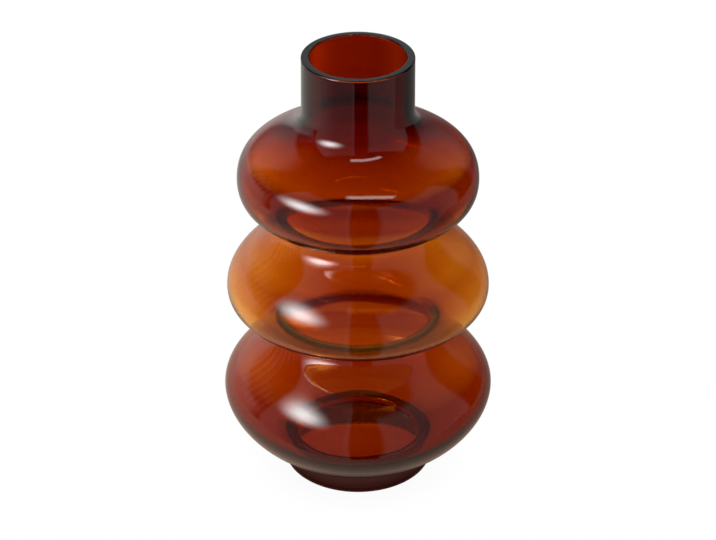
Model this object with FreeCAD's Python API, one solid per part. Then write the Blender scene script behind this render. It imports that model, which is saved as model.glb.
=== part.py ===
import FreeCAD, Part
import math
import os

# Three-tier gourd vase of mould-blown amber glass on a ring foot of the same glass.
# Lengths are in millimetres. +Z is up, and the origin is the centre of the
# face that the foot stands on.

# Heights, stacked from the table to the rim
foot_height = 16.5
lower_underside_height = 35.0
lower_shoulder_height = 44.0
middle_underside_height = 22.5
middle_shoulder_height = 41.5
upper_underside_height = 26.5
upper_shoulder_height = 43.0
neck_height = 31.0

# Outside radii of the widest and narrowest circles
crease_radius = 42.4
lower_bulge_radius = 77.5
lower_waist_radius = 43.5
middle_bulge_radius = 74.5
upper_waist_radius = 44.0
upper_bulge_radius = 67.4
neck_base_radius = 31.2
rim_radius = 31.0

# Radii of the profile's curve as it leaves each widest circle
lower_underside_crown = 10.0
lower_shoulder_crown = 16.5
middle_underside_crown = 15.5
middle_shoulder_crown = 20.0
upper_underside_crown = 27.0
upper_shoulder_crown = 34.0

# Radii of the hollow curves at the crease, the waists and the neck
crease_fillet = 10.0
lower_waist_fillet = 6.5
upper_waist_fillet = 5.0
neck_fillet = 20.0

# Radii of the same curves on the inside
lower_underside_inner_crown = 8.5
lower_shoulder_inner_crown = 15.0
middle_underside_inner_crown = 14.3
middle_shoulder_inner_crown = 18.5
upper_underside_inner_crown = 25.0
upper_shoulder_inner_crown = 28.0
crease_inner_fillet = 10.0
waist_inner_fillet = 10.8
neck_inner_fillet = 30.0

# Thickness of the blown wall, thin where the bubble was blown out furthest
floor_wall = 1.3
crease_wall = 3.5
lower_bulge_wall = 1.5
lower_waist_wall = 4.3
middle_bulge_wall = 1.0
upper_waist_wall = 4.3
upper_bulge_wall = 2.0
neck_wall = 4.5
lip_rounding = 0.8

# The foot: a thick ring that flares to its base, with a conical seat on top
foot_wall = 7.1
foot_flare = 0.6
seat_slope = 2.3
foot_edge_rounding = 1.8

# The thin round floor inside the ring's width, domed up a little
well_rounding = 3.5
floor_rise = 0.5

# Radii of the foot's base and of its bore, which is also the edge of the thin floor
foot_base_radius = crease_radius + foot_flare
well_radius = crease_radius - foot_wall

# Levels worked out from the stacked heights
crease_z = foot_height
lower_bulge_z = crease_z + lower_underside_height
lower_waist_z = lower_bulge_z + lower_shoulder_height
middle_bulge_z = lower_waist_z + middle_underside_height
upper_waist_z = middle_bulge_z + middle_shoulder_height
upper_bulge_z = upper_waist_z + upper_underside_height
neck_base_z = upper_bulge_z + upper_shoulder_height
rim_z = neck_base_z + neck_height
seat_bottom_z = crease_z - seat_slope
floor_under_z = seat_bottom_z + floor_rise
floor_z = floor_under_z + floor_wall


def at(radius, height):
    """A point of the profile, in the XZ plane."""
    return FreeCAD.Vector(radius, 0, height)


def line(start, end):
    return Part.LineSegment(start, end).toShape()


def arc(start, middle, end):
    return Part.Arc(start, middle, end).toShape()


def bezier(*poles):
    curve = Part.BezierCurve()
    curve.setPoles(list(poles))
    return curve.toShape()


def handle(end_radius, span):
    """Length of the end handle that bends a cubic curve to about this radius there."""
    return math.sqrt(2 * end_radius * span / 3)


def half_lobe(bulge_r, bulge_z, crown, waist_r, waist_z, fillet):
    """Profile from a widest circle to a narrow one, upright at both ends."""
    span = bulge_r - waist_r
    way = math.copysign(1, waist_z - bulge_z)
    leave = at(bulge_r, bulge_z + way * handle(crown, span))
    arrive = at(waist_r, waist_z - way * handle(fillet, span))
    return bezier(at(bulge_r, bulge_z), leave, arrive, at(waist_r, waist_z))


def underside(bulge_r, bulge_z, crown, crease_r, level, fillet):
    """Profile from the lowest widest circle to the crease, level at its end."""
    leave = at(bulge_r, bulge_z - handle(crown, bulge_r - crease_r))
    arrive = at(crease_r + handle(fillet, bulge_z - level), level)
    return bezier(at(bulge_r, bulge_z), leave, arrive, at(crease_r, level))


def quarter_round(start, end, corner):
    """Quarter circle from start to end, which rounds off the given corner point."""
    centre = start + end - corner
    middle = centre + (corner - centre) * (1 / math.sqrt(2))
    return arc(start, middle, end)


def turned(edges):
    """Solid of revolution from the edges of a closed profile."""
    face = Part.Face(Part.Wire(Part.__sortEdges__(edges)))
    return face.revolve(at(0, 0), FreeCAD.Vector(0, 0, 1), 360)


def outer_wall():
    """The bubble's outside, from the neck down to the crease."""
    return [
        line(at(rim_radius, rim_z - lip_rounding), at(neck_base_radius, neck_base_z)),
        half_lobe(upper_bulge_radius, upper_bulge_z, upper_shoulder_crown,
                  neck_base_radius, neck_base_z, neck_fillet),
        half_lobe(upper_bulge_radius, upper_bulge_z, upper_underside_crown,
                  upper_waist_radius, upper_waist_z, upper_waist_fillet),
        half_lobe(middle_bulge_radius, middle_bulge_z, middle_shoulder_crown,
                  upper_waist_radius, upper_waist_z, upper_waist_fillet),
        half_lobe(middle_bulge_radius, middle_bulge_z, middle_underside_crown,
                  lower_waist_radius, lower_waist_z, lower_waist_fillet),
        half_lobe(lower_bulge_radius, lower_bulge_z, lower_shoulder_crown,
                  lower_waist_radius, lower_waist_z, lower_waist_fillet),
        underside(lower_bulge_radius, lower_bulge_z, lower_underside_crown,
                  crease_radius, crease_z, crease_fillet),
    ]


def inner_wall():
    """The bubble's inside, from the mouth down to the floor."""
    mouth_r = rim_radius - neck_wall
    upper_r = upper_bulge_radius - upper_bulge_wall
    upper_waist_r = upper_waist_radius - upper_waist_wall
    middle_r = middle_bulge_radius - middle_bulge_wall
    lower_waist_r = lower_waist_radius - lower_waist_wall
    lower_r = lower_bulge_radius - lower_bulge_wall
    return [
        line(at(mouth_r, rim_z - lip_rounding), at(mouth_r, neck_base_z)),
        half_lobe(upper_r, upper_bulge_z, upper_shoulder_inner_crown,
                  mouth_r, neck_base_z, neck_inner_fillet),
        half_lobe(upper_r, upper_bulge_z, upper_underside_inner_crown,
                  upper_waist_r, upper_waist_z, waist_inner_fillet),
        half_lobe(middle_r, middle_bulge_z, middle_shoulder_inner_crown,
                  upper_waist_r, upper_waist_z, waist_inner_fillet),
        half_lobe(middle_r, middle_bulge_z, middle_underside_inner_crown,
                  lower_waist_r, lower_waist_z, waist_inner_fillet),
        half_lobe(lower_r, lower_bulge_z, lower_shoulder_inner_crown,
                  lower_waist_r, lower_waist_z, waist_inner_fillet),
        underside(lower_r, lower_bulge_z, lower_underside_inner_crown,
                  well_radius + well_rounding, crease_z + crease_wall, crease_inner_fillet),
    ]


def well():
    """The step from the thick crease down to the thin floor, and the floor."""
    step_z = crease_z + crease_wall
    step = at(well_radius + well_rounding, step_z)
    floor_edge = at(well_radius, step_z - well_rounding)
    return [
        quarter_round(step, floor_edge, at(well_radius, step_z)),
        line(floor_edge, at(0, floor_z)),
    ]


def lip():
    """The ground rim: a flat ring, rounded over to the outside and the inside."""
    mouth_r = rim_radius - neck_wall
    shoulder_z = rim_z - lip_rounding
    outer_top = at(rim_radius - lip_rounding, rim_z)
    inner_top = at(mouth_r + lip_rounding, rim_z)
    return [
        quarter_round(at(rim_radius, shoulder_z), outer_top, at(rim_radius, rim_z)),
        line(outer_top, inner_top),
        quarter_round(inner_top, at(mouth_r, shoulder_z), at(mouth_r, rim_z)),
    ]


def seat():
    """The cone where the bubble's bottom and the foot are fused face to face."""
    return line(at(crease_radius, crease_z), at(well_radius, seat_bottom_z))


def blown_body():
    floor_under = line(at(well_radius, seat_bottom_z), at(0, floor_under_z))
    axis = line(at(0, floor_under_z), at(0, floor_z))
    return turned(outer_wall() + lip() + inner_wall() + well() + [seat(), floor_under, axis])


def foot():
    """Ring that flares a little to its base, upright on the inside and rounded below."""
    flat_outer_r = foot_base_radius - foot_edge_rounding
    flat_inner_r = well_radius + foot_edge_rounding
    outer_edge = at(foot_base_radius, foot_edge_rounding)
    inner_edge = at(well_radius, foot_edge_rounding)
    return turned([
        seat(),
        line(at(crease_radius, crease_z), outer_edge),
        quarter_round(outer_edge, at(flat_outer_r, 0), at(foot_base_radius, 0)),
        line(at(flat_outer_r, 0), at(flat_inner_r, 0)),
        quarter_round(at(flat_inner_r, 0), inner_edge, at(well_radius, 0)),
        line(inner_edge, at(well_radius, seat_bottom_z)),
    ])


os.makedirs("parts", exist_ok=True)
blown_body().exportStep("parts/blown_body.step")
foot().exportStep("parts/foot.step")
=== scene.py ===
import math

import bpy
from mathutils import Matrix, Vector, noise


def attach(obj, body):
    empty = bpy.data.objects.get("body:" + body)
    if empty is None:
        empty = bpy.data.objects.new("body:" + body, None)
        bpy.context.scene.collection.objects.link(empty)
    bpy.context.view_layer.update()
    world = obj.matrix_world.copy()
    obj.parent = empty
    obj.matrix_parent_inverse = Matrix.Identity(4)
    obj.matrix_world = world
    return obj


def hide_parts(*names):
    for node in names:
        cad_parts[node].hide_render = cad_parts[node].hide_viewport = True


# Amber glass vase of three blown bulges on a thick ring foot, in metres, with
# the origin at the centre of the face it stands on and +Z up.

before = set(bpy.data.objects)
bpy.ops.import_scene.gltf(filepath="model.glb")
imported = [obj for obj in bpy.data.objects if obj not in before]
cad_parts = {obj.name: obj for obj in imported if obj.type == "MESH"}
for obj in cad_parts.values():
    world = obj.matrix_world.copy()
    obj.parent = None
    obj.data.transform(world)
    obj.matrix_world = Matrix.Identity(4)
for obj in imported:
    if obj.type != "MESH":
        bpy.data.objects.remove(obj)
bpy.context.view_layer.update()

# Heights, stacked from the table to the rim
FOOT_HEIGHT = 0.0165
LOWER_UNDERSIDE_HEIGHT = 0.035
LOWER_SHOULDER_HEIGHT = 0.044
MIDDLE_UNDERSIDE_HEIGHT = 0.0225
MIDDLE_SHOULDER_HEIGHT = 0.0415
UPPER_UNDERSIDE_HEIGHT = 0.0265
UPPER_SHOULDER_HEIGHT = 0.043
NECK_HEIGHT = 0.031

# Outside radii of the widest and narrowest circles
CREASE_RADIUS = 0.0424
LOWER_BULGE_RADIUS = 0.0775
LOWER_WAIST_RADIUS = 0.0435
MIDDLE_BULGE_RADIUS = 0.0745
UPPER_WAIST_RADIUS = 0.044
UPPER_BULGE_RADIUS = 0.0674
NECK_BASE_RADIUS = 0.0312
RIM_RADIUS = 0.031

# Radii of the profile's curve at its widest and narrowest circles
LOWER_UNDERSIDE_CROWN = 0.010
LOWER_SHOULDER_CROWN = 0.0165
MIDDLE_UNDERSIDE_CROWN = 0.0155
MIDDLE_SHOULDER_CROWN = 0.020
UPPER_UNDERSIDE_CROWN = 0.027
UPPER_SHOULDER_CROWN = 0.034
CREASE_FILLET = 0.010
LOWER_WAIST_FILLET = 0.0065
UPPER_WAIST_FILLET = 0.005
NECK_FILLET = 0.020

# The same for the inside
LOWER_UNDERSIDE_INNER_CROWN = 0.0085
LOWER_SHOULDER_INNER_CROWN = 0.015
MIDDLE_UNDERSIDE_INNER_CROWN = 0.0143
MIDDLE_SHOULDER_INNER_CROWN = 0.0185
UPPER_UNDERSIDE_INNER_CROWN = 0.025
UPPER_SHOULDER_INNER_CROWN = 0.028
WAIST_INNER_FILLET = 0.0108
NECK_INNER_FILLET = 0.030
CREASE_INNER_FILLET = 0.010

# Wall thickness of the blown body
FLOOR_WALL = 0.0013
CREASE_WALL = 0.0035
LOWER_BULGE_WALL = 0.0015
LOWER_WAIST_WALL = 0.0043
MIDDLE_BULGE_WALL = 0.001
UPPER_WAIST_WALL = 0.0043
UPPER_BULGE_WALL = 0.002
NECK_WALL = 0.0045
LIP_ROUNDING = 0.0008

# The ring foot, and the thin floor inside its width
FOOT_WALL = 0.0071
FOOT_FLARE = 0.0006
FOOT_EDGE_ROUNDING = 0.0018
SEAT_SLOPE = 0.0023
SEAT_GAP = 0.00002
WELL_ROUNDING = 0.0035
FLOOR_RISE = 0.0005
FOOT_BASE_RADIUS = CREASE_RADIUS + FOOT_FLARE
WELL_RADIUS = CREASE_RADIUS - FOOT_WALL

# Levels worked out from the stacked heights
CREASE_Z = FOOT_HEIGHT
LOWER_BULGE_Z = CREASE_Z + LOWER_UNDERSIDE_HEIGHT
LOWER_WAIST_Z = LOWER_BULGE_Z + LOWER_SHOULDER_HEIGHT
MIDDLE_BULGE_Z = LOWER_WAIST_Z + MIDDLE_UNDERSIDE_HEIGHT
UPPER_WAIST_Z = MIDDLE_BULGE_Z + MIDDLE_SHOULDER_HEIGHT
UPPER_BULGE_Z = UPPER_WAIST_Z + UPPER_UNDERSIDE_HEIGHT
NECK_BASE_Z = UPPER_BULGE_Z + UPPER_SHOULDER_HEIGHT
RIM_Z = NECK_BASE_Z + NECK_HEIGHT
SEAT_BOTTOM_Z = CREASE_Z - SEAT_SLOPE
FLOOR_UNDER_Z = SEAT_BOTTOM_Z + FLOOR_RISE
FLOOR_Z = FLOOR_UNDER_Z + FLOOR_WALL

# Mesh fineness, and the bend in degrees from which an edge is sharp
COLUMNS = 192
CURVE_STEPS = 36
STRAIGHT_STEPS = 16
ROUND_STEPS = 5
SHARP_ANGLE = 40

# Handmade unevenness: size of the swells and the distance from one to the next
OUTER_SWELL = 0.00012
OUTER_SWELL_SPACING = 0.045
OUTER_SEED = 3
INNER_SWELL = 0.00025
INNER_SWELL_SPACING = 0.028
INNER_SEED = 7
BLOWN_RING = 0.000012
BLOWN_RING_SPACING = 0.0032

# Faint orange-peel of a fire-polished surface
PEEL_SCALE = 260.0
PEEL_DETAIL = 2.0
PEEL_STRENGTH = 0.05
PEEL_DEPTH = 0.0002

# No tint
WHITE = (1.0, 1.0, 1.0)

# Amber glass, coloured all through
GLASS_IOR = 1.5
GLASS_DENSITY = 850.0
ABSORPTION_COLOUR = (0.875, 0.64, 0.05)

# See-through colour coat, deepest at the foot and the neck: how far its heights wander
COAT_WANDER = 0.004
COAT_WANDER_SCALE = 22.0
COAT_WANDER_DETAIL = 3.0

# Depth of the coat by height, and the share of light that a depth of 1 lets through
COAT = (
    (0.0, 3.0),
    (0.0158, 3.0),
    (0.0168, 0.6),
    (0.035, 0.6),
    (0.048, 1.05),
    (0.066, 0.75),
    (0.074, 0.1),
    (0.080, 0.0),
    (0.096, 0.1),
    (0.118, 0.15),
    (0.126, 0.35),
    (0.137, 0.35),
    (0.143, 0.05),
    (0.165, 0.05),
    (0.174, 0.1),
    (0.180, 0.4),
    (0.187, 1.3),
    (0.200, 1.4),
    (0.205, 0.35),
    (0.211, 0.5),
    (0.218, 1.2),
    (0.223, 1.9),
    (0.235, 1.9),
    (0.243, 1.75),
)
COAT_SHARE = (0.50, 0.16, 0.03)

# Camera, from a fit to the outline: distance in front, height and tilt below level
CAMERA_AWAY = 1.179409
CAMERA_HEIGHT = 0.838125
CAMERA_TILT = 31.151
FOCAL_PIXELS = 2426.545
PHOTO_WIDTH = 716
SENSOR = 36.0

# Most bounces of a ray: in all, mirrored and through the glass
ALL_BOUNCES = 32
MIRRORED_BOUNCES = 16
GLASS_BOUNCES = 24

# Limits between whole counts: mirrored at least once, and through two glass faces at most
MIRRORED_ONCE = 0.5
TWO_FACES_CROSSED = 2.5

# The dome that stands for the room, with its mesh step in degrees and its glow through the glass
DOME_RADIUS = 1.3
DOME_CENTRE_Z = 0.12
DOME_STEP = 2.0
ROOM_GLOW = 1.0

# Room lights that the glass mirrors, in degrees, azimuth 0 towards the camera and 90 to the right.
# Sides and heights hold low, high and softness. A top, start, rise or fade is a level and softness.
LEFT_SIDES = (-84, -8, 2)
LEFT_TOP = (62, 8)
LEFT_FADE = (-60, 30)
LEFT_FAR_GLOW = 0.45
LEFT_NEAR_GLOW = 0.25
EDGE_SIDES = (-10, -8, 1.5)
EDGE_TOP = (60, 8)
EDGE_GLOW = 0.3
RIGHT_SIDES = (20, 100, 6)
RIGHT_TOP = (50, 6)
RIGHT_GLOW = 0.35
FOLDS_SIDES = (-128, -84, 4)
FOLDS_HEIGHTS = (4, 32, 10)
FOLDS_IN_A_TURN = 60
FOLDS_GLOW = 0.25
BACK_START = (128, 8)
BACK_TOP = (50, 20)
BACK_RISE = (15, 20)
BACK_LOW_SHARE = 0.4
BACK_GLOW = 0.4725
BACK_RIGHT_SIDES = (120, 166, 8)
BACK_RIGHT_GLOW = 0.27
LOW_LIGHT_SIDES = (-176, -92, 16)
LOW_LIGHT_FADE = (-140, 20)
LOW_LIGHT_TOP_BEHIND = 7
LOW_LIGHT_TOP_BESIDE = 14
LOW_LIGHT_SOFTNESS = 8
LOW_LIGHT_GLOW = 0.5

# Strip light overhead, its sides as shares of its height over the vase
STRIP_X_SHARES = (-0.12, 0.41, 0.04)
STRIP_Y_SHARES = (-0.30, -0.19, 0.04)
STRIP_GLOW = 5

# Soft lamp near the vase, an oval disc that is brightest in the middle
LAMP_PLACE = (-0.29, -0.22, 0.36)
LAMP_AIM = (0.0, 0.0, 0.13)
LAMP_HALF_WIDTH = 0.245
LAMP_HALF_HEIGHT = 0.14
LAMP_GLOW = 19.5
LAMP_FADE_SHARES = (0.5, 1.0)
LAMP_FALL_OFF = 1.8
LAMP_RINGS = 24
LAMP_COLUMNS = 48

# The table's reach from the vase's middle
TABLE_FRONT = 0.11
TABLE_HALF_WIDTH = 0.8
TABLE_BACK = 0.9

# The table as the camera sees it, with a faint shade round the foot
SEEN_NEAR_SHADE = 0.96
SEEN_SHADE_FADE = (0.040, 0.070)

# The table through the glass: painted light, brighter at the left; painted shade near the foot;
# painted amber light under the floor and a painted amber shadow behind the vase
THROUGH_LEFT = 1.65
THROUGH_RIGHT = 1.1
THROUGH_ACROSS = (-0.09, 0.09)
THROUGH_NEAR_SHADE = 0.8
THROUGH_NEAR_SHADE_FADE = (0.045, 0.120)
# Painted amber light under the floor, and a painted amber shadow behind the vase
UNDER_FLOOR_PAINTED_LIGHT = (0.43, 0.13, 0.035)
UNDER_FLOOR_PAINTED_LIGHT_FADE = (0.034, 0.044)
BEHIND_PAINTED_SHADOW = (0.60, 0.38, 0.13)
BEHIND_PAINTED_SHADOW_FADE = (0.020, 0.085)

# The table as the glass mirrors it: painted shade at the right and by the foot, dimmer far off, and
# painted warm light close by, as if come through the glass
MIRRORED_LEFT = 0.85
MIRRORED_RIGHT = 0.28
MIRRORED_ACROSS = (-0.3, 0.3)
MIRRORED_NEAR_SHADE = 0.25
MIRRORED_NEAR_SHADE_FADE = (0.045, 0.060)
MIRRORED_FAR = 0.7
MIRRORED_FAR_FADE = (0.10, 0.30)
WARM_PAINTED_LIGHT = (1.0, 0.66, 0.52)
PALE_TINT = (1.0, 0.95, 0.85)
WARM_PAINTED_LIGHT_FADE = (0.05, 0.35)


def bezier(start, leave, arrive, end, steps=CURVE_STEPS):
    """Points of a cubic curve, without its last one."""
    points = []
    for i in range(steps):
        t = i / steps
        s = 1 - t
        shares = (s ** 3, 3 * s * s * t, 3 * s * t * t, t ** 3)
        poles = (start, leave, arrive, end)
        r = sum(share * p[0] for share, p in zip(shares, poles))
        z = sum(share * p[1] for share, p in zip(shares, poles))
        points.append((r, z))
    return points


def straight(start, end, steps=STRAIGHT_STEPS):
    """Points of a straight run, without its last one."""
    return [
        (start[0] + (end[0] - start[0]) * i / steps, start[1] + (end[1] - start[1]) * i / steps)
        for i in range(steps)
    ]


def handle(end_radius, span):
    """Length of the end handle that bends a cubic curve to about this radius there."""
    return math.sqrt(2 * end_radius * span / 3)


def half_lobe(bulge_r, bulge_z, crown, waist_r, waist_z, fillet):
    """Poles from a widest circle to a narrow one, upright at both ends."""
    span = bulge_r - waist_r
    way = math.copysign(1, waist_z - bulge_z)
    leave = (bulge_r, bulge_z + way * handle(crown, span))
    arrive = (waist_r, waist_z - way * handle(fillet, span))
    return (bulge_r, bulge_z), leave, arrive, (waist_r, waist_z)


def underside(bulge_r, bulge_z, crown, crease_r, level, fillet):
    """Poles from the lowest widest circle to the crease, level at the end."""
    leave = (bulge_r, bulge_z - handle(crown, bulge_r - crease_r))
    arrive = (crease_r + handle(fillet, bulge_z - level), level)
    return (bulge_r, bulge_z), leave, arrive, (crease_r, level)


def downward(poles):
    return bezier(*poles)


def upward(poles):
    return bezier(*reversed(poles))


def quarter_round(start, end, corner, steps=ROUND_STEPS):
    """Points of a rounded corner, without its last one."""
    centre = (start[0] + end[0] - corner[0], start[1] + end[1] - corner[1])
    points = []
    for i in range(steps):
        angle = math.pi / 2 * i / steps
        points.append(tuple(
            c + (s - c) * math.cos(angle) + (e - c) * math.sin(angle)
            for c, s, e in zip(centre, start, end)
        ))
    return points


def outer_outline():
    """The outside from the crease up to the neck's top edge."""
    return (
        upward(underside(LOWER_BULGE_RADIUS, LOWER_BULGE_Z, LOWER_UNDERSIDE_CROWN,
                         CREASE_RADIUS, CREASE_Z, CREASE_FILLET))
        + downward(half_lobe(LOWER_BULGE_RADIUS, LOWER_BULGE_Z, LOWER_SHOULDER_CROWN,
                             LOWER_WAIST_RADIUS, LOWER_WAIST_Z, LOWER_WAIST_FILLET))
        + upward(half_lobe(MIDDLE_BULGE_RADIUS, MIDDLE_BULGE_Z, MIDDLE_UNDERSIDE_CROWN,
                           LOWER_WAIST_RADIUS, LOWER_WAIST_Z, LOWER_WAIST_FILLET))
        + downward(half_lobe(MIDDLE_BULGE_RADIUS, MIDDLE_BULGE_Z, MIDDLE_SHOULDER_CROWN,
                             UPPER_WAIST_RADIUS, UPPER_WAIST_Z, UPPER_WAIST_FILLET))
        + upward(half_lobe(UPPER_BULGE_RADIUS, UPPER_BULGE_Z, UPPER_UNDERSIDE_CROWN,
                           UPPER_WAIST_RADIUS, UPPER_WAIST_Z, UPPER_WAIST_FILLET))
        + downward(half_lobe(UPPER_BULGE_RADIUS, UPPER_BULGE_Z, UPPER_SHOULDER_CROWN,
                             NECK_BASE_RADIUS, NECK_BASE_Z, NECK_FILLET))
        + straight((NECK_BASE_RADIUS, NECK_BASE_Z), (RIM_RADIUS, RIM_Z - LIP_ROUNDING))
    )


def lip_outline():
    """The ground rim: a flat ring, rounded over to the outside and the inside."""
    mouth_r = RIM_RADIUS - NECK_WALL
    shoulder_z = RIM_Z - LIP_ROUNDING
    outer_top = (RIM_RADIUS - LIP_ROUNDING, RIM_Z)
    inner_top = (mouth_r + LIP_ROUNDING, RIM_Z)
    return (
        quarter_round((RIM_RADIUS, shoulder_z), outer_top, (RIM_RADIUS, RIM_Z))
        + straight(outer_top, inner_top, ROUND_STEPS)
        + quarter_round(inner_top, (mouth_r, shoulder_z), (mouth_r, RIM_Z))
    )


def inner_outline():
    """The inside from the mouth down to the step of the crease."""
    mouth_r = RIM_RADIUS - NECK_WALL
    upper_r = UPPER_BULGE_RADIUS - UPPER_BULGE_WALL
    upper_waist_r = UPPER_WAIST_RADIUS - UPPER_WAIST_WALL
    middle_r = MIDDLE_BULGE_RADIUS - MIDDLE_BULGE_WALL
    lower_waist_r = LOWER_WAIST_RADIUS - LOWER_WAIST_WALL
    lower_r = LOWER_BULGE_RADIUS - LOWER_BULGE_WALL
    return (
        straight((mouth_r, RIM_Z - LIP_ROUNDING), (mouth_r, NECK_BASE_Z))
        + upward(half_lobe(upper_r, UPPER_BULGE_Z, UPPER_SHOULDER_INNER_CROWN,
                           mouth_r, NECK_BASE_Z, NECK_INNER_FILLET))
        + downward(half_lobe(upper_r, UPPER_BULGE_Z, UPPER_UNDERSIDE_INNER_CROWN,
                             upper_waist_r, UPPER_WAIST_Z, WAIST_INNER_FILLET))
        + upward(half_lobe(middle_r, MIDDLE_BULGE_Z, MIDDLE_SHOULDER_INNER_CROWN,
                           upper_waist_r, UPPER_WAIST_Z, WAIST_INNER_FILLET))
        + downward(half_lobe(middle_r, MIDDLE_BULGE_Z, MIDDLE_UNDERSIDE_INNER_CROWN,
                             lower_waist_r, LOWER_WAIST_Z, WAIST_INNER_FILLET))
        + upward(half_lobe(lower_r, LOWER_BULGE_Z, LOWER_SHOULDER_INNER_CROWN,
                           lower_waist_r, LOWER_WAIST_Z, WAIST_INNER_FILLET))
        + downward(underside(lower_r, LOWER_BULGE_Z, LOWER_UNDERSIDE_INNER_CROWN,
                             WELL_RADIUS + WELL_ROUNDING, CREASE_Z + CREASE_WALL,
                             CREASE_INNER_FILLET))
    )


def well_outline():
    """The step from the thick crease down to the thin floor, and the floor."""
    step_z = CREASE_Z + CREASE_WALL
    step = (WELL_RADIUS + WELL_ROUNDING, step_z)
    floor_edge = (WELL_RADIUS, step_z - WELL_ROUNDING)
    return (
        quarter_round(step, floor_edge, (WELL_RADIUS, step_z))
        + straight(floor_edge, (0, FLOOR_Z))
    )


def swell(size, spacing, seed):
    """A smooth uneven offset over the surface, never outward of the true profile."""
    def offset(point):
        return -size * (1 + noise.noise(point / spacing + Vector((seed, 0, 0)))) / 2
    return offset


def blown(point):
    """The inside's uneven wall with the faint rings that blowing leaves."""
    flat = Vector((point.x, point.y, 0)) / INNER_SWELL_SPACING
    ripple = noise.noise(Vector((flat.x, flat.y, point.z / BLOWN_RING_SPACING)))
    slow = noise.noise(point / INNER_SWELL_SPACING + Vector((INNER_SEED, 0, 0)))
    return INNER_SWELL * slow + BLOWN_RING * ripple


def even(point):
    """No unevenness."""
    return 0.0


def rings(stretches):
    """Circles of points round the axis, and for each whether its faces are coated."""
    verts = []
    coated = []
    for points, offset, has_coat in stretches:
        for r, z in points:
            coated.append(has_coat)
            for c in range(COLUMNS):
                angle = 2 * math.pi * c / COLUMNS
                out = Vector((math.cos(angle), math.sin(angle), 0))
                at = out * r + Vector((0, 0, z))
                verts.append(at + out * offset(at))
    return verts, coated


def bands(count, closed=False):
    """Faces between neighbouring circles, and round to the first where closed."""
    faces = []
    for k in range(count if closed else count - 1):
        a = k * COLUMNS
        b = (k + 1) % count * COLUMNS
        for c in range(COLUMNS):
            d = (c + 1) % COLUMNS
            faces.append((a + c, a + d, b + d, b + c))
    return faces


def turned_piece(name, verts, faces, coated):
    """A piece that is smooth but for its sharp edges, with its coated faces marked."""
    mesh = bpy.data.meshes.new(name)
    mesh.from_pydata(verts, [], faces)
    mesh.attributes.new("coated", "FLOAT", "FACE").data.foreach_set("value", coated)
    mesh.update()
    mesh.shade_smooth()
    mesh.set_sharp_from_angle(angle=math.radians(SHARP_ANGLE))
    piece = bpy.data.objects.new(name, mesh)
    bpy.context.scene.collection.objects.link(piece)
    return piece


def lathe(name, first_pole, stretches, last_pole):
    """A closed turned mesh from pole to pole. A stretch is points, offset, coated or not."""
    verts, marks = rings(stretches)
    faces = bands(len(marks))
    coated = [marks[k // COLUMNS] for k in range(len(faces))]
    end = len(verts) - COLUMNS
    for c in range(COLUMNS):
        d = (c + 1) % COLUMNS
        faces.append((len(verts), d, c))
        faces.append((len(verts) + 1, end + c, end + d))
        coated += [False, False]
    verts += [Vector((0, 0, first_pole)), Vector((0, 0, last_pole))]
    return turned_piece(name, verts, faces, coated)


def ring(name, stretches):
    """A closed turned ring, its profile given clockwise as seen with +X to the right."""
    verts, marks = rings(stretches)
    faces = [tuple(reversed(face)) for face in bands(len(marks), closed=True)]
    coated = [marks[k // COLUMNS] for k in range(len(faces))]
    return turned_piece(name, verts, faces, coated)


def feed(tree, value, socket):
    """Feeds an input from another node, or sets it to a colour or a number."""
    if isinstance(value, bpy.types.NodeSocket):
        tree.links.new(value, socket)
    elif isinstance(value, tuple):
        socket.default_value = (*value, 1)
    else:
        socket.default_value = value


def add_node(tree, kind, **inputs):
    """A new node with its inputs fed. A name's underscore stands for a space."""
    node = tree.nodes.new(kind)
    for name, value in inputs.items():
        feed(tree, value, node.inputs[name.replace("_", " ")])
    return node


def calculate(tree, operation, *values):
    """What a math node makes of the values."""
    node = tree.nodes.new("ShaderNodeMath")
    node.operation = operation
    for value, socket in zip(values, node.inputs):
        feed(tree, value, socket)
    return node.outputs[0]


def mixed(tree, factor, a, b):
    """The number a where the factor is 0, and b where it is 1."""
    return add_node(tree, "ShaderNodeMix", Factor=factor, A=a, B=b).outputs["Result"]


def mixed_colour(tree, factor, a, b):
    """The same for colours, whose sockets the mix node has at places of their own."""
    node = tree.nodes.new("ShaderNodeMix")
    node.data_type = "RGBA"
    feed(tree, factor, node.inputs["Factor"])
    feed(tree, a, node.inputs[6])
    feed(tree, b, node.inputs[7])
    return node.outputs[2]


def soft_range(tree, value, low, high, start=0.0, end=1.0):
    """Goes smoothly from start to end while the value goes from low to high."""
    node = add_node(tree, "ShaderNodeMapRange", Value=value, From_Min=low, From_Max=high,
                    To_Min=start, To_Max=end)
    node.interpolation_type = "SMOOTHSTEP"
    return node.outputs["Result"]


def attribute(tree, name):
    node = tree.nodes.new("ShaderNodeAttribute")
    node.attribute_name = name
    return node.outputs["Fac"]


def peel(tree, place):
    """The faint orange-peel, as a normal."""
    waves = add_node(tree, "ShaderNodeTexNoise", Vector=place, Scale=PEEL_SCALE,
                     Detail=PEEL_DETAIL)
    bump = add_node(tree, "ShaderNodeBump", Height=waves.outputs["Fac"],
                    Strength=PEEL_STRENGTH, Distance=PEEL_DEPTH)
    return bump.outputs["Normal"]


def coat_ramp(tree, level):
    """Colour of the coat by height. A refraction tints by the root of the colour."""
    ramp = add_node(tree, "ShaderNodeValToRGB", Fac=level)
    stops = ramp.color_ramp.elements
    stops.remove(stops[1])
    stops[0].position = COAT[0][0] / RIM_Z
    for height, depth in COAT[1:]:
        stops.new(height / RIM_Z)
    for stop, (height, depth) in zip(stops, COAT):
        stop.color = (*(share ** (2 * depth) for share in COAT_SHARE), 1)
    return ramp.outputs["Color"]


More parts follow.
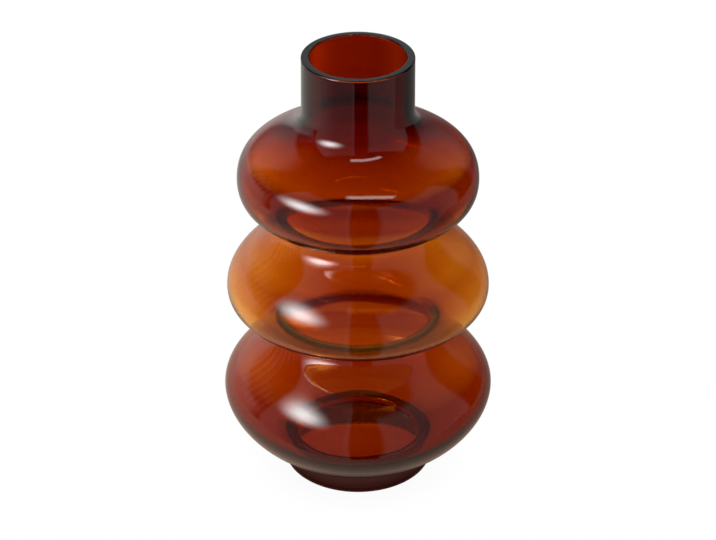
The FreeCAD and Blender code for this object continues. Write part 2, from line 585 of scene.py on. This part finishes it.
def coat(tree, place):
    """The coat's colour where a face is coated, and white elsewhere."""
    height = add_node(tree, "ShaderNodeSeparateXYZ", Vector=place).outputs["Z"]
    waves = add_node(tree, "ShaderNodeTexNoise", Vector=place, Scale=COAT_WANDER_SCALE,
                     Detail=COAT_WANDER_DETAIL)
    wandered = calculate(tree, "MULTIPLY_ADD", waves.outputs["Fac"], COAT_WANDER, height)
    level = add_node(tree, "ShaderNodeMapRange", Value=wandered, From_Min=COAT_WANDER / 2,
                     From_Max=RIM_Z + COAT_WANDER / 2)
    colour = coat_ramp(tree, level.outputs["Result"])
    return mixed_colour(tree, attribute(tree, "coated"), WHITE, colour)


def tinted_glass(name):
    """Glass coloured all through, so that it is deeper where it is thicker."""
    material = bpy.data.materials.new(name)
    material.use_nodes = True
    tree = material.node_tree
    place = tree.nodes.new("ShaderNodeTexCoord").outputs["Object"]
    shader = tree.nodes["Principled BSDF"]
    shader.inputs["Roughness"].default_value = 0.0
    shader.inputs["Transmission Weight"].default_value = 1.0
    shader.inputs["IOR"].default_value = GLASS_IOR
    feed(tree, peel(tree, place), shader.inputs["Normal"])
    feed(tree, coat(tree, place), shader.inputs["Base Color"])
    tint = add_node(tree, "ShaderNodeVolumeAbsorption", Color=ABSORPTION_COLOUR,
                    Density=GLASS_DENSITY)
    feed(tree, tint.outputs["Volume"], tree.nodes["Material Output"].inputs["Volume"])
    return material


def make_body():
    """The blown bubble, from the middle of its floor's underside round to its inside."""
    under = straight((0, FLOOR_UNDER_Z), (WELL_RADIUS, SEAT_BOTTOM_Z))[1:]
    seat = straight((WELL_RADIUS, SEAT_BOTTOM_Z), (CREASE_RADIUS, CREASE_Z), ROUND_STEPS)
    outer = swell(OUTER_SWELL, OUTER_SWELL_SPACING, OUTER_SEED)
    body = lathe(
        "vase_body", FLOOR_UNDER_Z,
        [
            (under, even, False),
            (seat, even, False),
            (outer_outline(), outer, True),
            (lip_outline(), even, False),
            (inner_outline() + well_outline(), blown, False),
        ],
        FLOOR_Z,
    )
    body.data.materials.append(tinted_glass("amber_glass"))
    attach(body, "root")
    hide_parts("blown_body")


def make_foot():
    """The thick ring that the bubble rests on, coated on its outside and its base."""
    flat_outer = (FOOT_BASE_RADIUS - FOOT_EDGE_ROUNDING, 0)
    flat_inner = (WELL_RADIUS + FOOT_EDGE_ROUNDING, 0)
    outer_edge = (FOOT_BASE_RADIUS, FOOT_EDGE_ROUNDING)
    inner_edge = (WELL_RADIUS, FOOT_EDGE_ROUNDING)
    seat_in = (WELL_RADIUS, SEAT_BOTTOM_Z - SEAT_GAP)
    seat_out = (CREASE_RADIUS, CREASE_Z - SEAT_GAP)
    foot = ring(
        "vase_foot",
        [
            (straight(seat_out, outer_edge), even, True),
            (quarter_round(outer_edge, flat_outer, (FOOT_BASE_RADIUS, 0)), even, True),
            (straight(flat_outer, flat_inner, ROUND_STEPS), even, True),
            (quarter_round(flat_inner, inner_edge, (WELL_RADIUS, 0)), even, False),
            (straight(inner_edge, seat_in), even, False),
            (straight(seat_in, seat_out, ROUND_STEPS), even, False),
        ],
    )
    foot.data.materials.append(tinted_glass("foot_glass"))
    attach(foot, "root")
    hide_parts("foot")


def soft_step(value, edge, width):
    """0 below the edge, 1 above it, and smooth over the width between."""
    t = min(max((value - edge) / width + 0.5, 0), 1)
    return t * t * (3 - 2 * t)


def window(value, low, high, width):
    """1 from low to high, 0 outside, and smooth over the width at both ends."""
    return soft_step(value, low, width) * (1 - soft_step(value, high, width))


def between(start, end, share):
    return start + (end - start) * share


def pane(azimuth, elevation, sides, top):
    """1 between the sides and below the top, and 0 elsewhere."""
    return window(azimuth, *sides) * (1 - soft_step(elevation, *top))


def left_light(azimuth, elevation):
    """A wide window at the left, brighter away from the camera."""
    glow = between(LEFT_FAR_GLOW, LEFT_NEAR_GLOW, soft_step(azimuth, *LEFT_FADE))
    return glow * pane(azimuth, elevation, LEFT_SIDES, LEFT_TOP)


def edge_light(azimuth, elevation):
    """The bright upright line where that window ends."""
    return EDGE_GLOW * pane(azimuth, elevation, EDGE_SIDES, EDGE_TOP)


def right_light(azimuth, elevation):
    """A wide window at the right."""
    return RIGHT_GLOW * pane(azimuth, elevation, RIGHT_SIDES, RIGHT_TOP)


def folds_light(azimuth, elevation):
    """Upright folds, like those of a curtain, beyond the left window."""
    folds = (1 + math.cos(math.radians(azimuth * FOLDS_IN_A_TURN))) / 2
    inside = window(azimuth, *FOLDS_SIDES) * window(elevation, *FOLDS_HEIGHTS)
    return FOLDS_GLOW * folds * inside


def back_light(azimuth, elevation):
    """Light from behind, weaker low down and at the right."""
    glow = between(BACK_GLOW, BACK_RIGHT_GLOW, window(azimuth, *BACK_RIGHT_SIDES))
    glow *= between(BACK_LOW_SHARE, 1, soft_step(elevation, *BACK_RISE))
    glow *= 1 - soft_step(elevation, *BACK_TOP)
    return glow * soft_step(abs(azimuth), *BACK_START)


def low_light(azimuth, elevation):
    """Low light at the back left, lower behind the vase than beside it."""
    fade = soft_step(azimuth, *LOW_LIGHT_FADE)
    top = (between(LOW_LIGHT_TOP_BEHIND, LOW_LIGHT_TOP_BESIDE, fade), LOW_LIGHT_SOFTNESS)
    return LOW_LIGHT_GLOW * pane(azimuth, elevation, LOW_LIGHT_SIDES, top)


def strip_light(azimuth, elevation):
    """A long level strip overhead."""
    if elevation <= 0:
        return 0
    out = math.tan(math.radians(90 - elevation))
    x = out * math.sin(math.radians(azimuth))
    y = -out * math.cos(math.radians(azimuth))
    return STRIP_GLOW * window(x, *STRIP_X_SHARES) * window(y, *STRIP_Y_SHARES)


def studio_light(azimuth, elevation):
    """How bright the studio is in a direction."""
    lights = (
        left_light, edge_light, right_light, folds_light, back_light, low_light, strip_light,
    )
    return sum(light(azimuth, elevation) for light in lights)


def mirrored_rays(tree):
    """1 for rays that have been mirrored, and 0 for others."""
    path = tree.nodes.new("ShaderNodeLightPath")
    return calculate(tree, "GREATER_THAN", path.outputs["Glossy Depth"], MIRRORED_ONCE)


def rays_straight_off(tree):
    """1 for mirrored rays that crossed two faces at most, as off either side of a wall."""
    path = tree.nodes.new("ShaderNodeLightPath")
    crossed = path.outputs["Transmission Depth"]
    few = calculate(tree, "LESS_THAN", crossed, TWO_FACES_CROSSED)
    return calculate(tree, "MULTIPLY", mirrored_rays(tree), few)


def emitter(name):
    """A material that only glows, with its node tree and its emission node."""
    material = bpy.data.materials.new(name)
    material.use_nodes = True
    tree = material.node_tree
    tree.nodes.clear()
    output = tree.nodes.new("ShaderNodeOutputMaterial")
    emission = tree.nodes.new("ShaderNodeEmission")
    feed(tree, emission.outputs[0], output.inputs["Surface"])
    return material, tree, emission


def studio_piece(name, material, verts, faces, glow=()):
    """A piece of the studio, with the glow of each point where its material reads one."""
    mesh = bpy.data.meshes.new(name)
    mesh.from_pydata(verts, [], faces)
    if glow:
        mesh.attributes.new("glow", "FLOAT", "POINT").data.foreach_set("value", glow)
    mesh.materials.append(material)
    piece = bpy.data.objects.new(name, mesh)
    bpy.context.scene.collection.objects.link(piece)
    return piece


def dome_light():
    """Shows the room's lights to rays straight off the glass, and even light to others."""
    material, tree, emission = emitter("studio_light")
    strength = mixed(tree, rays_straight_off(tree), ROOM_GLOW, attribute(tree, "glow"))
    feed(tree, strength, emission.inputs["Strength"])
    return material


def dome_point(azimuth, elevation):
    flat = math.cos(math.radians(elevation)) * DOME_RADIUS
    x = flat * math.sin(math.radians(azimuth))
    y = -flat * math.cos(math.radians(azimuth))
    return (x, y, DOME_CENTRE_Z + math.sin(math.radians(elevation)) * DOME_RADIUS)


def make_dome():
    """The room round the vase, seen only in reflections and through the glass."""
    columns = int(360 / DOME_STEP)
    rows = int(180 / DOME_STEP)
    directions = [
        (-180 + col * DOME_STEP, -90 + row * DOME_STEP)
        for row in range(rows + 1)
        for col in range(columns + 1)
    ]
    verts = [dome_point(*direction) for direction in directions]
    glow = [studio_light(*direction) for direction in directions]
    faces = []
    for row in range(rows):
        for col in range(columns):
            a = row * (columns + 1) + col
            b = a + columns + 1
            faces.append((a, a + 1, b + 1, b))
    dome = studio_piece("studio_dome", dome_light(), verts, faces, glow)
    dome.visible_camera = False
    dome.visible_shadow = False


def lamp_light():
    """Light for mirrored rays alone, and nothing at all to others."""
    material, tree, emission = emitter("lamp_light_0")
    shown = calculate(tree, "MULTIPLY", mirrored_rays(tree), attribute(tree, "glow"))
    strength = calculate(tree, "MULTIPLY", shown, LAMP_GLOW)
    feed(tree, strength, emission.inputs["Strength"])
    clear = tree.nodes.new("ShaderNodeBsdfTransparent")
    both = tree.nodes.new("ShaderNodeAddShader")
    feed(tree, emission.outputs[0], both.inputs[0])
    feed(tree, clear.outputs[0], both.inputs[1])
    feed(tree, both.outputs[0], tree.nodes["Material Output"].inputs["Surface"])
    return material


def lamp_disc():
    """Points, faces and glow of the oval disc, which is turned to the vase."""
    place = Vector(LAMP_PLACE)
    turn = (Vector(LAMP_AIM) - place).to_track_quat("Z", "Y")
    verts = [place]
    glow = [1.0]
    faces = []
    for k in range(1, LAMP_RINGS + 1):
        out = k / LAMP_RINGS
        for c in range(LAMP_COLUMNS):
            angle = 2 * math.pi * c / LAMP_COLUMNS
            across = LAMP_HALF_WIDTH * math.cos(angle)
            up = LAMP_HALF_HEIGHT * math.sin(angle)
            verts.append(place + turn @ (Vector((across, up, 0)) * out))
            glow.append((1 - soft_step(out, *LAMP_FADE_SHARES)) ** LAMP_FALL_OFF)
    for c in range(LAMP_COLUMNS):
        d = (c + 1) % LAMP_COLUMNS
        faces.append((0, 1 + c, 1 + d))
        for k in range(LAMP_RINGS - 1):
            a = 1 + k * LAMP_COLUMNS
            b = a + LAMP_COLUMNS
            faces.append((a + c, b + c, b + d, a + d))
    return verts, faces, glow


def make_lamp():
    """A soft lamp that only reflections see."""
    lamp = studio_piece("soft_lamp_0", lamp_light(), *lamp_disc())
    lamp.visible_camera = False
    lamp.visible_diffuse = False
    lamp.visible_shadow = False


def table_through(tree, across, distance):
    """Strength and colour of the table to rays that came through the glass, with painted light and
    shade and the vase's painted amber light and shadow.
    """
    sides = soft_range(tree, across, *THROUGH_ACROSS, THROUGH_LEFT, THROUGH_RIGHT)
    # Painted shade on the table near the foot
    near = soft_range(tree, distance, *THROUGH_NEAR_SHADE_FADE, THROUGH_NEAR_SHADE, 1.0)
    strength = calculate(tree, "MULTIPLY", sides, near)
    # Painted amber shadow of the vase on the table behind it
    aside = soft_range(tree, calculate(tree, "ABSOLUTE", across), *BEHIND_PAINTED_SHADOW_FADE)
    behind_painted_shadow = mixed_colour(tree, aside, BEHIND_PAINTED_SHADOW, WHITE)
    # Painted amber light on the table under the vase's floor, as if come through the glass
    away = soft_range(tree, distance, *UNDER_FLOOR_PAINTED_LIGHT_FADE)
    return strength, mixed_colour(tree, away, UNDER_FLOOR_PAINTED_LIGHT, behind_painted_shadow)


def table_mirrored(tree, across, distance):
    """Strength and colour of the table to rays straight off the glass, with painted shade and
    painted warm light.
    """
    # Painted shade on the table towards the right
    sides = soft_range(tree, across, *MIRRORED_ACROSS, MIRRORED_LEFT, MIRRORED_RIGHT)
    # Painted shade on the table by the foot
    near = soft_range(tree, distance, *MIRRORED_NEAR_SHADE_FADE, MIRRORED_NEAR_SHADE, 1.0)
    far = soft_range(tree, distance, *MIRRORED_FAR_FADE, 1.0, MIRRORED_FAR)
    strength = calculate(tree, "MULTIPLY", sides, calculate(tree, "MULTIPLY", near, far))
    # Painted warm light on the table close by, as if come through the glass
    away = soft_range(tree, distance, *WARM_PAINTED_LIGHT_FADE)
    return strength, mixed_colour(tree, away, WARM_PAINTED_LIGHT, PALE_TINT)


def table_light():
    """Nearly white to the camera but for a faint painted shade round the foot, and to rays from the
    glass a glow with painted light and shade.
    """
    material, tree, emission = emitter("pale_table")
    place = tree.nodes.new("ShaderNodeTexCoord").outputs["Object"]
    across = add_node(tree, "ShaderNodeSeparateXYZ", Vector=place).outputs["X"]
    away = add_node(tree, "ShaderNodeVectorMath", Vector=place)
    away.operation = "LENGTH"
    distance = away.outputs["Value"]
    through, through_colour = table_through(tree, across, distance)
    mirrored, mirrored_colour = table_mirrored(tree, across, distance)
    # Painted shade round the foot, as the camera sees the table
    seen = soft_range(tree, distance, *SEEN_SHADE_FADE, SEEN_NEAR_SHADE, 1.0)
    off_glass = rays_straight_off(tree)
    to_camera = tree.nodes.new("ShaderNodeLightPath").outputs["Is Camera Ray"]
    strength = mixed(tree, to_camera, mixed(tree, off_glass, through, mirrored), seen)
    colour = mixed_colour(tree, off_glass, through_colour, mirrored_colour)
    feed(tree, strength, emission.inputs["Strength"])
    feed(tree, mixed_colour(tree, to_camera, colour, WHITE), emission.inputs["Color"])
    return material


def make_table():
    """The pale table that the vase stands on."""
    corners = [
        (-TABLE_HALF_WIDTH, -TABLE_FRONT, 0),
        (TABLE_HALF_WIDTH, -TABLE_FRONT, 0),
        (TABLE_HALF_WIDTH, TABLE_BACK, 0),
        (-TABLE_HALF_WIDTH, TABLE_BACK, 0),
    ]
    table = studio_piece("table", table_light(), corners, [(0, 1, 2, 3)])


def make_world():
    world = bpy.data.worlds.new("white_room")
    world.use_nodes = True
    background = world.node_tree.nodes["Background"]
    background.inputs["Color"].default_value = (*WHITE, 1)
    background.inputs["Strength"].default_value = 1.0
    bpy.context.scene.world = world


def make_camera():
    data = bpy.data.cameras.new("camera")
    data.sensor_width = SENSOR
    data.lens = FOCAL_PIXELS * SENSOR / PHOTO_WIDTH
    camera = bpy.data.objects.new("camera", data)
    camera.location = (0, -CAMERA_AWAY, CAMERA_HEIGHT)
    camera.rotation_euler = (math.radians(90 - CAMERA_TILT), 0, 0)
    bpy.context.scene.collection.objects.link(camera)
    bpy.context.scene.camera = camera


make_camera()
make_world()
make_dome()
make_lamp()
make_table()
make_body()
make_foot()

scene = bpy.context.scene
scene.view_settings.view_transform = "Standard"
scene.cycles.max_bounces = ALL_BOUNCES
scene.cycles.glossy_bounces = MIRRORED_BOUNCES
scene.cycles.transmission_bounces = GLASS_BOUNCES
